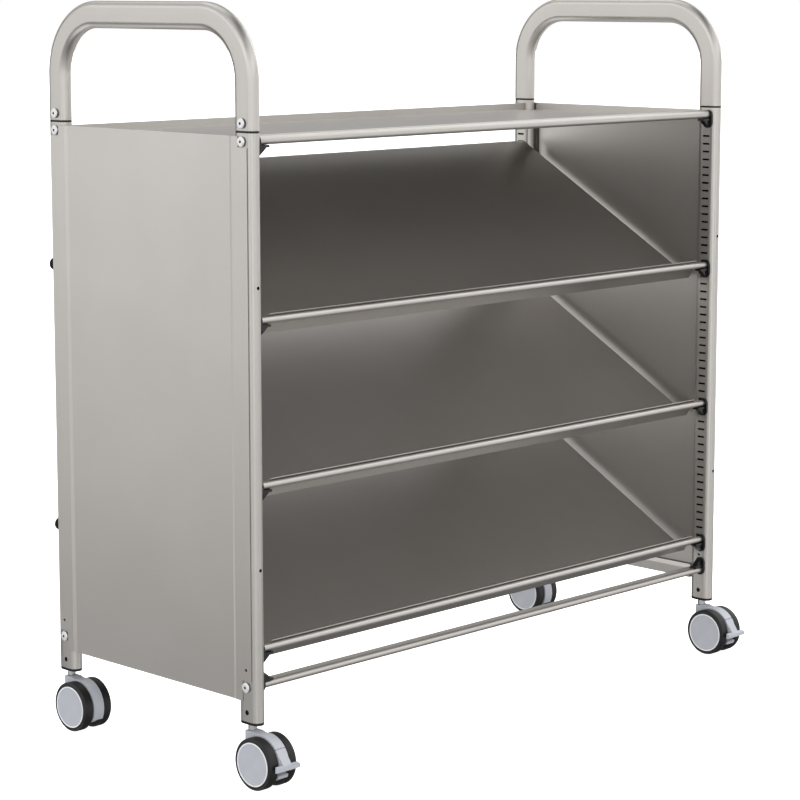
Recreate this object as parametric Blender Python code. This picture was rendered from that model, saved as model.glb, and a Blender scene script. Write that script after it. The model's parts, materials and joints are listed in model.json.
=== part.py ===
"""A tilted shelf trolley: a frame of flat-oval tube on four twin-wheel castors, with sheet
end panels, a top tray and three tilted shelves carried by slotted uprights and front rods.

Metres, +Z up. X runs along the shelves, the front is towards -Y and the floor is Z = 0.
The origin is the centre of the trolley's box, on the floor.
"""

import math

import bmesh
import bpy
from mathutils import Vector

MM = 0.001

# Clearances
SEAT_GAP = 0.3 * MM  # between pieces that rest on or against each other
RUNNING_GAP = 0.6 * MM  # between pieces that turn past each other
SHEET_GAP = 0.5 * MM  # between the edges of sheet pieces and what they lie beside

# Tube frame
LEG_SPACING_X = 995 * MM  # between the centre lines of the uprights
LEG_SPACING_Y = 396 * MM
TUBE_WIDTH = 20 * MM  # across the flats
TUBE_DEPTH = 38 * MM  # over the round edges
TUBE_WALL = 1.5 * MM
HANDLE_RISE = 171.5 * MM  # from the top of the uprights to the top of the handles
HANDLE_BEND = 85 * MM  # bend radius on the tube's centre line
CONNECTOR_FLANGE = 2.1 * MM
CONNECTOR_SPIGOT = 30 * MM  # reach into each tube

# Slots and holes in the uprights
FIRST_SLOT_DROP = 45 * MM  # below the top of the upright
SLOT_PITCH = 12.5 * MM
SLOT_LENGTH = 13 * MM
SLOT_HEIGHT = 3 * MM
FOOT_HOLE_DIAMETER = 7.6 * MM
FOOT_HOLE_RISE = 12.8 * MM  # above the foot of the upright
SMALL_HOLE_DIAMETER = 4.4 * MM
SMALL_HOLE_RISE = 3.7 * MM  # above the lower bracket
BUFFER_HOLE_DIAMETER = 5 * MM
UPPER_BUFFER_DROP = 205 * MM  # below the top of the upright
LOWER_BUFFER_DROP = 588 * MM

# Shelf positions, counted in slots
SHELF_COUNT = 3
FIRST_HOOK_SLOT = 16  # upper hook of the first shelf's front brackets
SHELF_SLOTS = 18  # from one shelf to the next
BACK_SLOT_RISE = 14  # from a shelf's front hooks up to the slots of its back tabs

# Front rods and their brackets
ROD_DIAMETER = 10 * MM
ROD_FORWARD = 4 * MM  # in front of the centre line of the uprights
TOP_ROD_DROP = 11.5 * MM  # below the top of the uprights
FIN_REACH = 10 * MM  # from the lower rod's centre to the edge of its fin
FIN_ANGLE = math.radians(42)
BRACKET_PLATE = 3 * MM
BRACKET_WIDTH = 17 * MM
BRACKET_DROP = 20.5 * MM  # from the rod's centre to the tip of the back plate
BRACKET_SPACING = 9.75 * MM  # between the lowest shelf's brackets and the lower rod's
SADDLE_LENGTH = 20.3 * MM
SADDLE_WIDTH = 12 * MM
SADDLE_THICKNESS = 3.3 * MM
RIB_WIDTH = 9 * MM
RIB_REACH = 15.7 * MM
RIB_BULGE = 0.8  # 1 is a straight gusset, less is fuller
HOOK_SIDE_GAP = 2 * MM  # from a bracket's hook to each end of its slot
HOOK_GRIP = 2.5 * MM  # reach of hooks and shelf tabs behind the tube wall
FOOT_LENGTH = 48 * MM  # from the lower rod to the foot of the upright

# Sheet pieces
SHEET = 1.2 * MM
SHELF_END_GAP = 2.5 * MM  # from a shelf's edge to the inner face of the uprights
LEDGE_BACK = 32 * MM  # from the rod's centre back to the front bend
LEDGE_TILT = math.radians(44)
LEDGE_SETBACK = 22 * MM  # the ledge's edge is shorter than the shelf by this at each end
BACK_FLANGE_LEAD = 4 * MM  # from the back bend to the slots
TAB_SIDE_GAP = 0.7 * MM  # from a shelf's tab to each end of its slot
TRAY_DEPTH = 11.1 * MM  # height of the upstands above the tray's floor
TRAY_TOP_DROP = 4.6 * MM  # from the top of the uprights to the top of the upstands
TRAY_BACK_INSET = 8 * MM  # from the centre line of the back uprights to the back upstand
TRAY_CHAMFER = 4 * MM
PANEL_TOP_DROP = 4.2 * MM
PANEL_FOOT_RISE = 28.2 * MM
PANEL_LAP = 10 * MM  # past the centre line of the uprights
PANEL_BOLT_NOTCH = 17.4 * MM  # width of the notches that clear the bolts
PANEL_TOP_NOTCH = 14.8 * MM
PANEL_FOOT_NOTCH = 29.1 * MM
JOGGLE_DEPTH = 2.4 * MM
JOGGLE_RUN = 6 * MM
JOGGLE_LEAD = 1.1 * MM  # from the tube's edge to the joggle
RETURN_WIDTH = 7.6 * MM  # flange folded inwards along the foot of a panel
RETURN_LIP = 14.5 * MM  # upright part of its lip
RETURN_HEM = 6.8 * MM  # upper part, which leans back towards the panel
RETURN_LEAN = 1.5 * MM

# Castors
CASTOR_HEIGHT = 88 * MM  # from the floor to the foot of the uprights
CASTOR_TRAIL = 25.9 * MM  # from the swivel axis to the axle
CASTOR_WIDTH = 51 * MM  # over both wheels
WHEEL_DIAMETER = 72.5 * MM
DISC_DIAMETER = 61 * MM  # light disc on the outside of a wheel
TYRE_SHOULDER = 3.2 * MM  # from the disc's face to the edge of the tread
TYRE_INNER_CHAMFER = 2 * MM
AXLE_DIAMETER = 8 * MM
AXLE_END_GAP = 0.5 * MM
WHEEL_WEB = 2.6 * MM  # thickness of the disc over the axle's end
HOOD_WIDTH = 17.4 * MM
HOOD_RADIUS = 37.8 * MM
HOOD_RISE = 39 * MM  # from the axle to the flat top round the stem
HOOD_DIP_ANGLE = math.radians(102)  # where the slope from that top meets the round
HOOD_BLOCK = 14 * MM  # height of the hood's back end
HOOD_OVERHANG = 5.6 * MM  # behind the swivel axis
HOOD_END_ANGLE = math.radians(-26.5)
HOOD_INNER_RADIUS = 27 * MM
HUB_DIAMETER = 22 * MM
STEM_DIAMETER = 8 * MM
STEM_IN_HOOD = 9 * MM
STEM_IN_PLUG = 21 * MM
HEX_ACROSS_FLATS = 11 * MM
PLUG_FLANGE = 3.6 * MM
PLUG_SPIGOT = 24 * MM
BUFFER_DIAMETER = 19 * MM
BUFFER_REACH = 7.8 * MM
BUFFER_TIP = 1.9 * MM  # flat at the top of the dome
BUFFER_STEM = 4 * MM

# Brake levers on the front castors
LEVER_TOP_ANGLE = math.radians(39.6)
LEVER_FOOT_ANGLE = math.radians(-6)
LEVER_TRAVEL = math.radians(12)
LEVER_PLATE = 6 * MM  # thickness of the web that turns on the axle
LEVER_EYE = 18 * MM  # diameter of the eye round the axle
PEDAL_LENGTH = 40 * MM
PEDAL_HEIGHT = 9 * MM
PEDAL_THICKNESS = 6.6 * MM
PEDAL_GAP = 4.8 * MM  # from the tread to the pedal

# Facets of the round shapes
OVAL_STEPS = 6  # per half round of the tube
BEND_STEPS = 6  # per right-angled bend
ROD_STEPS = 16
HOLE_STEPS = 8
BRACKET_STEPS = 8  # per half round
RIB_STEPS = 5
BUFFER_STEPS = 4
WHEEL_STEPS = 24
ARC_STEP = math.radians(12)

# Places worked out from the sizes above
WHEEL_RADIUS = WHEEL_DIAMETER / 2
ROD_RADIUS = ROD_DIAMETER / 2
AXLE_Z = WHEEL_RADIUS
HOOD_TOP_Z = AXLE_Z + HOOD_RISE
FOOT_Z = CASTOR_HEIGHT
LAST_SHELF_DROP = FIRST_SLOT_DROP + SLOT_PITCH * (
    FIRST_HOOK_SLOT + 0.5 + SHELF_SLOTS * (SHELF_COUNT - 1)
)
LOWER_ROD_DROP = LAST_SHELF_DROP + 2 * BRACKET_DROP + BRACKET_SPACING
TOP_Z = FOOT_Z + LOWER_ROD_DROP + FOOT_LENGTH
SMALL_HOLE_Z = FOOT_Z + FOOT_LENGTH + BRACKET_DROP + SMALL_HOLE_RISE
PEDAL_INNER = WHEEL_RADIUS + PEDAL_GAP
FRONT_REACH = CASTOR_TRAIL + PEDAL_INNER + PEDAL_THICKNESS
BACK_REACH = TUBE_DEPTH / 2 + SEAT_GAP + BUFFER_REACH
BOX_DEPTH = LEG_SPACING_Y + FRONT_REACH + BACK_REACH
LEG_X = LEG_SPACING_X / 2
FRONT_Y = FRONT_REACH - BOX_DEPTH / 2
BACK_Y = BOX_DEPTH / 2 - BACK_REACH
INNER_X = LEG_X - TUBE_WIDTH / 2
OUTER_X = LEG_X + TUBE_WIDTH / 2
ROD_Y = FRONT_Y - ROD_FORWARD
SLOT_COUNT = FIRST_HOOK_SLOT + SHELF_SLOTS * (SHELF_COUNT - 1) + 2
SADDLE_FACE = BRACKET_PLATE + SEAT_GAP  # inner face of a bracket's plate, from the tube
SHELF_NAMES = ("upper", "middle", "lower")

SIDES = {"left": -1, "right": 1}
ENDS = {"front": FRONT_Y, "back": BACK_Y}


def slot_z(number):
    """Height of the middle of a slot."""
    return TOP_Z - FIRST_SLOT_DROP - SLOT_PITCH * number


# Materials
def finish(name, colour, roughness, metallic=0.0):
    """Principled material of one colour."""
    material = bpy.data.materials.new(name)
    material.use_nodes = True
    shader = material.node_tree.nodes["Principled BSDF"]
    shader.inputs["Base Color"].default_value = (*colour, 1.0)
    shader.inputs["Roughness"].default_value = roughness
    shader.inputs["Metallic"].default_value = metallic
    material.diffuse_color = (*colour, 1.0)
    return material


# Outlines
def oval(width, depth):
    """Flat-oval outline, counter-clockwise: half rounds at the ends of its depth."""
    radius = width / 2
    points = []
    for centre, start in ((depth / 2 - radius, 0), (radius - depth / 2, math.pi)):
        for step in range(OVAL_STEPS + 1):
            angle = start + math.pi * step / OVAL_STEPS
            points.append((radius * math.cos(angle), centre + radius * math.sin(angle)))
    return points


def circle(radius, count, phase=0.0):
    """Evenly spaced points, the first one at phase steps from the first axis."""
    angles = [2 * math.pi * (step + phase) / count for step in range(count)]
    return [(radius * math.cos(angle), radius * math.sin(angle)) for angle in angles]


def arc(radius, start, end, step=ARC_STEP):
    """Points along an arc about the origin, both ends included."""
    steps = max(2, math.ceil(abs(end - start) / step))
    angles = [start + (end - start) * number / steps for number in range(steps + 1)]
    return [(radius * math.cos(angle), radius * math.sin(angle)) for angle in angles]


# Solids
def loft(rings, closed=False):
    """Body through rings of equally many points, capped at both ends or closed on itself."""
    bm = bmesh.new()
    loops = [[bm.verts.new(point) for point in ring] for ring in rings]
    pairs = list(zip(loops, loops[1:]))
    if closed:
        pairs.append((loops[-1], loops[0]))
    else:
        bm.faces.new(loops[0])
        bm.faces.new(loops[-1])
    for lower, upper in pairs:
        for i, corner in enumerate(lower):
            bm.faces.new((corner, lower[i - 1], upper[i - 1], upper[i]))
    bmesh.ops.recalc_face_normals(bm, faces=bm.faces)
    return bm


def stack(levels):
    """Upright body from (height, outline) pairs."""
    return loft([[(x, y, height) for x, y in outline] for height, outline in levels])


def prism_x(outline, low, high):
    """Body with a (y, z) outline, from low to high along X."""
    return loft([[(x, y, z) for y, z in outline] for x in (low, high)])


def prism_y(outline, low, high):
    """Body with an (x, z) outline, from low to high along Y."""
    return loft([[(x, y, z) for x, z in outline] for y in (low, high)])


def box(low, high):
    """Block between two corners."""
    outline = [(low[1], low[2]), (high[1], low[2]), (high[1], high[2]), (low[1], high[2])]
    return prism_x(outline, *sorted((low[0], high[0])))


def piece(name, bm, material=None):
    """Object made from a mesh under construction, shaded smooth on its round faces."""
    mesh = bpy.data.meshes.new(name)
    bm.to_mesh(mesh)
    bm.free()
    obj = bpy.data.objects.new(name, mesh)
    bpy.context.scene.collection.objects.link(obj)
    if material:
        mesh.materials.append(material)
    shade(mesh)
    return obj


def shade(mesh):
    mesh.shade_smooth()
    mesh.set_sharp_from_angle(angle=math.radians(35))


def combine(obj, bm, operation):
    """Joins a body to an object, or cuts it away."""
    tool = piece("tool", bm)
    modifier = obj.modifiers.new(operation, "BOOLEAN")
    modifier.operation = operation
    modifier.object = tool
    seen = obj.evaluated_get(bpy.context.evaluated_depsgraph_get())
    mesh = bpy.data.meshes.new_from_object(seen)
    obj.modifiers.clear()
    old = obj.data
    obj.data = mesh
    bpy.data.meshes.remove(old)
    spent = tool.data
    bpy.data.objects.remove(tool)
    bpy.data.meshes.remove(spent)
    mesh.name = obj.name
    shade(mesh)


def join(obj, bm):
    combine(obj, bm, "UNION")


def cut(obj, bm):
    combine(obj, bm, "DIFFERENCE")


def folded_sheet(name, faces, material):
    """Sheet-metal piece from the faces of its middle surface, thickened evenly."""
    bm = bmesh.new()
    made = {}
    for face in faces:
        corners = []
        for point in face:
            key = tuple(round(value / (0.001 * MM)) for value in point)
            if key not in made:
                made[key] = bm.verts.new(point)
            corners.append(made[key])
        bm.faces.new(corners)
    bmesh.ops.recalc_face_normals(bm, faces=bm.faces)
    obj = piece(name, bm, material)
    thicken = obj.modifiers.new("Sheet", "SOLIDIFY")
    thicken.thickness = SHEET
    thicken.offset = 0
    thicken.use_even_offset = True
    return obj


# Frame pieces
def upright(name, side, leg_y, outward, material):
    """Slotted tube. Outward is -1 for a front upright and 1 for a back one."""
    rings = []
    for height, inset in ((FOOT_Z, 0), (TOP_Z, 0), (TOP_Z, TUBE_WALL), (FOOT_Z, TUBE_WALL)):
        outline = oval(TUBE_WIDTH - 2 * inset, TUBE_DEPTH - 2 * inset)
        rings.append([(side * LEG_X + x, leg_y + y, height) for x, y in outline])
    obj = piece(name, loft(rings, closed=True), material)

    slots = bmesh.new()
    for number in range(SLOT_COUNT):
        bmesh.ops.create_cube(slots, size=1.0)
        fresh = slots.verts[-8:]
        wall_x = side * (INNER_X + TUBE_WALL / 2)
        bmesh.ops.scale(slots, vec=(3 * TUBE_WALL, SLOT_LENGTH, SLOT_HEIGHT), verts=fresh)
        bmesh.ops.translate(slots, vec=(wall_x, leg_y, slot_z(number)), verts=fresh)
    cut(obj, slots)

    for height, diameter in (
        (FOOT_Z + FOOT_HOLE_RISE, FOOT_HOLE_DIAMETER),
        (SMALL_HOLE_Z, SMALL_HOLE_DIAMETER),
    ):
        outline = [(leg_y + y, height + z) for y, z in circle(diameter / 2, HOLE_STEPS)]
        ends = sorted((side * (INNER_X - TUBE_WALL), side * (OUTER_X + TUBE_WALL)))
        cut(obj, prism_x(outline, *ends))
    for drop in (UPPER_BUFFER_DROP, LOWER_BUFFER_DROP):
        hole = circle(BUFFER_HOLE_DIAMETER / 2, HOLE_STEPS)
        outline = [(side * LEG_X + x, TOP_Z - drop + z) for x, z in hole]
        ends = sorted((leg_y, leg_y + outward * TUBE_DEPTH))
        cut(obj, prism_y(outline, *ends))
    return obj


def handle(name, side, material):
    """Inverted U of the upright's tube, standing on the two connectors of one end."""
    start_z = TOP_Z + CONNECTOR_FLANGE + 2 * SEAT_GAP
    bend_z = TOP_Z + HANDLE_RISE - TUBE_DEPTH / 2 - HANDLE_BEND
    stations = [(FRONT_Y, start_z, 0.0)]
    for centre_y, first in ((FRONT_Y + HANDLE_BEND, 0.0), (BACK_Y - HANDLE_BEND, math.pi / 2)):
        for step in range(BEND_STEPS + 1):
            turn = first + math.pi / 2 * step / BEND_STEPS
            y = centre_y - HANDLE_BEND * math.cos(turn)
            stations.append((y, bend_z + HANDLE_BEND * math.sin(turn), turn))
    stations.append((BACK_Y, start_z, math.pi))

    def ring(station, inset):
        y, z, turn = station
        outline = oval(TUBE_WIDTH - 2 * inset, TUBE_DEPTH - 2 * inset)
        return [
            (side * LEG_X + across, y + along * math.cos(turn), z - along * math.sin(turn))
            for across, along in outline
        ]

    outside = [ring(station, 0) for station in stations]
    inside = [ring(station, TUBE_WALL) for station in reversed(stations)]
    return piece(name, loft(outside + inside, closed=True), material)


def connector(name, side, leg_y, material):
    """Plastic spigot that joins a handle to an upright, with a thin flange between them."""
    inset = TUBE_WALL + SEAT_GAP
    plug = oval(TUBE_WIDTH - 2 * inset, TUBE_DEPTH - 2 * inset)
    flange = oval(TUBE_WIDTH, TUBE_DEPTH)
    low = SEAT_GAP
    high = SEAT_GAP + CONNECTOR_FLANGE
    levels = [
        (low - CONNECTOR_SPIGOT, plug),
        (low, plug),
        (low, flange),
        (high, flange),
        (high, plug),
        (high + CONNECTOR_SPIGOT, plug),
    ]
    obj = piece(name, stack(levels), material)
    obj.location = (side * LEG_X, leg_y, TOP_Z)
    return obj


def tube_plug(name, side, leg_y, material):
    """Plastic foot plug with a blind hole for the castor's stem."""
    inset = TUBE_WALL + SEAT_GAP
    spigot = oval(TUBE_WIDTH - 2 * inset, TUBE_DEPTH - 2 * inset)
    flange = oval(TUBE_WIDTH, TUBE_DEPTH)
    bore = circle(STEM_DIAMETER / 2 + SEAT_GAP, len(flange), phase=0.5)
    low = -SEAT_GAP - PLUG_FLANGE
    levels = [
        (low + STEM_IN_PLUG + SEAT_GAP, bore),
        (low, bore),
        (low, flange),
        (-SEAT_GAP, flange),
        (-SEAT_GAP, spigot),
        (max(PLUG_SPIGOT, low + STEM_IN_PLUG + PLUG_FLANGE), spigot),
    ]
    obj = piece(name, stack(levels), material)
    obj.location = (side * LEG_X, leg_y, FOOT_Z)
    return obj


def rear_buffer(name, side, drop, material):
    """Rubber dome on the back edge of an upright, with a stem in the tube's hole."""
    bore = BUFFER_HOLE_DIAMETER / 2 * math.cos(math.pi / HOLE_STEPS)
    stem = circle(bore - SEAT_GAP, ROD_STEPS)
    rings = [(-BUFFER_STEM, stem), (0.0, stem)]
    for number in range(BUFFER_STEPS):
        angle = math.pi / 2 * number / BUFFER_STEPS
        outline = circle(BUFFER_DIAMETER / 2 * math.cos(angle), ROD_STEPS)
        rings.append((BUFFER_REACH * math.sin(angle), outline))
    rings.append((BUFFER_REACH, circle(BUFFER_TIP / 2, ROD_STEPS)))
    obj = piece(name, loft([[(x, y, z) for x, z in outline] for y, outline in rings]), material)
    obj.location = (side * LEG_X, BACK_Y + TUBE_DEPTH / 2 + SEAT_GAP, TOP_Z - drop)
    return obj


# Sheet pieces
def end_panel(name, side, material):
    """Joggled sheet lapped on the outer faces of two uprights, folded in along its foot."""
    lap_x = side * (OUTER_X + SEAT_GAP + SHEET / 2)
    field_x = lap_x - side * JOGGLE_DEPTH
    joggle = TUBE_DEPTH / 2 + JOGGLE_LEAD
    columns = []
    for leg_y, inward in ((FRONT_Y, 1), (BACK_Y, -1)):
        edge = leg_y - inward * PANEL_LAP
        half = [
            (edge, lap_x),
            (edge + inward * PANEL_BOLT_NOTCH, lap_x),
            (leg_y + inward * joggle, lap_x),
            (leg_y + inward * (joggle + JOGGLE_RUN), field_x),
        ]
        columns += half if inward > 0 else half[::-1]
    low = FOOT_Z + PANEL_FOOT_RISE
    high = TOP_Z - PANEL_TOP_DROP
    rows = [low, low + PANEL_FOOT_NOTCH, high - PANEL_TOP_NOTCH, high]
    faces = []
    for number, ((y0, x0), (y1, x1)) in enumerate(zip(columns, columns[1:])):
        at_edge = number in (0, len(columns) - 2)
        spans = list(zip(rows, rows[1:]))
        for z0, z1 in spans[1:2] if at_edge else spans:
            faces.append([(x0, y0, z0), (x1, y1, z0), (x1, y1, z1), (x0, y0, z1)])
    y0 = columns[3][0]
    y1 = columns[4][0]
    fold_x = field_x - side * RETURN_WIDTH
    faces.append([(field_x, y0, low), (field_x, y1, low), (fold_x, y1, low), (fold_x, y0, low)])
    lip = low + RETURN_LIP
    faces.append([(fold_x, y0, low), (fold_x, y1, low), (fold_x, y1, lip), (fold_x, y0, lip)])
    hem_x = fold_x + side * RETURN_LEAN
    hem = lip + RETURN_HEM
    faces.append([(fold_x, y0, lip), (fold_x, y1, lip), (hem_x, y1, hem), (hem_x, y0, hem)])
    obj = folded_sheet(name, faces, material)
    for leg_y in ENDS.values():
        hole = circle(SMALL_HOLE_DIAMETER / 2, HOLE_STEPS)
        outline = [(leg_y + y, SMALL_HOLE_Z + z) for y, z in hole]
        cut(obj, prism_x(outline, *sorted((lap_x - SHEET, lap_x + SHEET))))
    return obj


def lip_above_rod():
    """Height of the ledge's middle surface straight above the centre of the rod it leans on."""
    return (ROD_RADIUS + SEAT_GAP + SHEET / 2) / math.cos(LEDGE_TILT)


def tilted_shelf(name, rod_z, back_z, material):
    """Sloping sheet with a front ledge on its rod and a back flange with tabs in the slots."""
    end_x = INNER_X - SHELF_END_GAP
    tab_x = INNER_X + TUBE_WALL + HOOK_GRIP
    lip = (ROD_Y, rod_z + lip_above_rod(), end_x - LEDGE_SETBACK)
    bend_drop = LEDGE_BACK * math.tan(LEDGE_TILT)
    bend = (ROD_Y + LEDGE_BACK, lip[1] - bend_drop, end_x)
    tab_front = BACK_Y - SLOT_LENGTH / 2 + TAB_SIDE_GAP
    tab_back = BACK_Y + SLOT_LENGTH / 2 - TAB_SIDE_GAP
    back_bend = (tab_front - TAB_SIDE_GAP - BACK_FLANGE_LEAD, back_z, end_x)
    profile = [lip, bend, back_bend, (tab_front, back_z, end_x), (tab_back, back_z, end_x)]
    faces = []
    for (y0, z0, x0), (y1, z1, x1) in zip(profile, profile[1:]):
        faces.append([(-x0, y0, z0), (x0, y0, z0), (x1, y1, z1), (-x1, y1, z1)])
    for side in SIDES.values():
        near = side * end_x
        far = side * tab_x
        faces.append(
            [
                (near, tab_front, back_z),
                (far, tab_front, back_z),
                (far, tab_back, back_z),
                (near, tab_back, back_z),
            ]
        )
    return folded_sheet(name, faces, material)


def top_tray(name, material):
    """Shallow tray notched round the uprights, with a front lip over the top rod."""
    rod_z = TOP_Z - TOP_ROD_DROP
    rim_z = TOP_Z - TRAY_TOP_DROP
    floor_z = rim_z - TRAY_DEPTH - SHEET / 2
    lip_z = rod_z + lip_above_rod()
    ramp_y = ROD_Y + (lip_z - floor_z) / math.tan(LEDGE_TILT)
    back_y = BACK_Y - TRAY_BACK_INSET
    ramp_x = INNER_X - SADDLE_FACE - TAB_SIDE_GAP
    neck_x = INNER_X - SHEET_GAP
    field_x = OUTER_X + SEAT_GAP + SHEET - JOGGLE_DEPTH
    wing_x = field_x - SHEET - SHEET_GAP - SHEET / 2
    wing_front = FRONT_Y + TUBE_DEPTH / 2 + RUNNING_GAP
    wing_back = BACK_Y - TUBE_DEPTH / 2 - RUNNING_GAP
    half = [
        (ramp_x, ramp_y),
        (neck_x, ramp_y + TRAY_CHAMFER),
        (neck_x, wing_front),
        (wing_x, wing_front),
        (wing_x, wing_back),
        (neck_x, wing_back),
        (neck_x, back_y),
    ]
    outline = half + [(-x, y) for x, y in reversed(half)]
    faces = [[(x, y, floor_z) for x, y in outline]]
    faces.append(
        [
            (-ramp_x, ramp_y, floor_z),
            (ramp_x, ramp_y, floor_z),
            (ramp_x, ROD_Y, lip_z),
            (-ramp_x, ROD_Y, lip_z),
        ]
    )
    folds = [((neck_x, back_y), (-neck_x, back_y))]
    for side in SIDES.values():
        folds.append(((side * wing_x, wing_front), (side * wing_x, wing_back)))
    for (x0, y0), (x1, y1) in folds:
        faces.append([(x0, y0, floor_z), (x1, y1, floor_z), (x1, y1, rim_z), (x0, y0, rim_z)])
    return folded_sheet(name, faces, material)


# Rods and brackets
def rod(name, y, z, half_length, material):
    """Round bar along X."""
    outline = circle(ROD_RADIUS, ROD_STEPS)
    obj = piece(name, prism_x(outline, -half_length, half_length), material)
    obj.location = (0, y, z)
    return obj


def finned_rod(name, y, z, half_length, material):
    """Round bar along X with a narrow fin that rises behind it between the brackets."""
    obj = rod(name, y, z, half_length, material)
    along = Vector((math.cos(FIN_ANGLE), math.sin(FIN_ANGLE)))
    across = Vector((-along.y, along.x)) * SHEET / 2
    start = along * ROD_RADIUS / 2
    end = along * FIN_REACH
    outline = [start - across, end - across, end + across, start + across]
    reach = INNER_X - SADDLE_LENGTH - SHEET_GAP
    fin = prism_x([(y + p.x, z + p.y) for p in outline], -reach, reach)
    join(obj, fin)
    return obj


def bracket(name, side, rod_z, material, turned=1, hooked=True):
    """Moulded rod holder on the inner face of a front upright. Turned is -1 upside down."""

    def at(reach):
        return side * (INNER_X - reach)

    radius = BRACKET_WIDTH / 2
    step = math.pi / BRACKET_STEPS
    top = arc(radius, 0, math.pi, step)
    tip = [(y, z - BRACKET_DROP + radius) for y, z in arc(radius, math.pi, 2 * math.pi, step)]
    outline = [(ROD_Y + y, rod_z + turned * z) for y, z in top + tip]
    obj = piece(name, prism_x(outline, *sorted((at(SEAT_GAP), at(SADDLE_FACE)))), material)

    saddle_top = -ROD_RADIUS - SEAT_GAP
    saddle_low = saddle_top - SADDLE_THICKNESS
    half = SADDLE_WIDTH / 2
    heights = sorted((rod_z + turned * saddle_top, rod_z + turned * saddle_low))
    root = SEAT_GAP + BRACKET_PLATE / 2
    low = (at(root), ROD_Y - half, heights[0])
    high = (at(SADDLE_LENGTH), ROD_Y + half, heights[1])
    join(obj, box(low, high))

    rib_z = saddle_top - SADDLE_THICKNESS / 2
    rib_drop = BRACKET_DROP + rib_z - SEAT_GAP
    curve = [(root, rib_z)]
    for number in range(RIB_STEPS + 1):
        share = number / RIB_STEPS
        curve.append((root + RIB_REACH * (1 - share), rib_z - rib_drop * share**RIB_BULGE))
    outline = [(at(reach), rod_z + turned * z) for reach, z in curve]
    join(obj, prism_y(outline, ROD_Y - RIB_WIDTH / 2, ROD_Y + RIB_WIDTH / 2))

    if hooked:
        half = SLOT_LENGTH / 2 - HOOK_SIDE_GAP
        for offset in (SLOT_PITCH / 2, -SLOT_PITCH / 2):
            hook_z = rod_z + offset
            rise = SLOT_HEIGHT / 2 - SEAT_GAP
            low = (at(-TUBE_WALL - HOOK_GRIP), FRONT_Y - half, hook_z - rise)
            high = (at(root), FRONT_Y + half, hook_z + rise)
            join(obj, box(low, high))
    return obj


# Castors
def castor_side(outline):
    """Turns (forward, up) points about the axle into (y, z) about the swivel origin."""
    return [(-CASTOR_TRAIL - forward, up) for forward, up in outline]


def axle_side(outline):
    """Turns (forward, up) points about the axle into (y, z) about the axle."""
    return [(-forward, up) for forward, up in outline]


def sector(inner, outer, start, end):
    """Outline between two radii and two angles about the axle."""
    return arc(outer, start, end) + arc(inner, end, start)


def eye_and_web(eye, outer, start, end):
    """Outline of a round eye about the axle with a web that widens out to a radius."""
    return arc(outer, start, end) + arc(eye, end, start + 2 * math.pi)


def castor_stem(name, side, leg_y, material):
    """Fixed stem: a shank in the foot plug, a hexagon, and the pin that the hood turns on."""
    count = WHEEL_STEPS
    shank = circle(STEM_DIAMETER / 2, count)
    hexagon = []
    for step in range(count):
        angle = 2 * math.pi * step / count
        from_flat = angle % (math.pi / 3) - math.pi / 6
        reach = HEX_ACROSS_FLATS / 2 / math.cos(from_flat)
        hexagon.append((reach * math.cos(angle), reach * math.sin(angle)))
    plug_low = FOOT_Z - SEAT_GAP - PLUG_FLANGE
    hex_low = HOOD_TOP_Z + SEAT_GAP
    hex_high = plug_low - SEAT_GAP
    levels = [
        (HOOD_TOP_Z - STEM_IN_HOOD, shank),
        (hex_low, shank),
        (hex_low, hexagon),
        (hex_high, hexagon),
        (hex_high, shank),
        (plug_low + STEM_IN_PLUG - SEAT_GAP, shank),
    ]
    obj = piece(name, stack(levels), material)
    obj.location = (side * LEG_X, leg_y, 0)
    return obj


def castor_hood(name, side, leg_y, braked, material):
    """Hood between the two wheels, with the axle through it. Its origin is on the swivel axis."""
    hub = HUB_DIAMETER / 2
    tail = CASTOR_TRAIL + HOOD_OVERHANG
    outline = [(-tail, HOOD_RISE), (HEX_ACROSS_FLATS - CASTOR_TRAIL, HOOD_RISE)]
    outline += arc(HOOD_RADIUS, HOOD_DIP_ANGLE, HOOD_END_ANGLE)
    outline.append(arc(HOOD_INNER_RADIUS, HOOD_END_ANGLE, 0)[0])
    outline += arc(hub, math.radians(-80), math.radians(-180))
    block_low = HOOD_RISE - HOOD_BLOCK
    outline += [(HOOD_OVERHANG - tail, block_low - HOOD_BLOCK / 2), (-tail, block_low)]
    half = HOOD_WIDTH / 2
    obj = piece(name, prism_x(castor_side(outline), -half, half), material)

    bore = circle(STEM_DIAMETER / 2 + SEAT_GAP, ROD_STEPS)
    floor = HOOD_RISE - STEM_IN_HOOD - SEAT_GAP
    cut(obj, stack([(floor, bore), (HOOD_RISE + HOOD_BLOCK, bore)]))
    if braked:
        foot = LEVER_FOOT_ANGLE - LEVER_TRAVEL - SEAT_GAP / HOOD_INNER_RADIUS
        pocket = sector(HOOD_INNER_RADIUS, HOOD_RADIUS * 1.3, foot, LEVER_TOP_ANGLE)
        cut(obj, prism_x(castor_side(pocket), -HOOD_WIDTH, HOOD_WIDTH))
        slot = LEVER_PLATE / 2 + SEAT_GAP
        margin = SEAT_GAP / HOOD_INNER_RADIUS
        eye = LEVER_EYE / 2 + RUNNING_GAP
        keyhole = eye_and_web(eye, HOOD_INNER_RADIUS * 1.1, foot + margin, LEVER_TOP_ANGLE - margin)
        cut(obj, prism_x(castor_side(keyhole), -slot, slot))
    reach = CASTOR_WIDTH / 2 - WHEEL_WEB - AXLE_END_GAP
    join(obj, prism_x(castor_side(circle(AXLE_DIAMETER / 2, ROD_STEPS)), -reach, reach))
    obj.location = (side * LEG_X, leg_y, AXLE_Z)
    return obj


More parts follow.
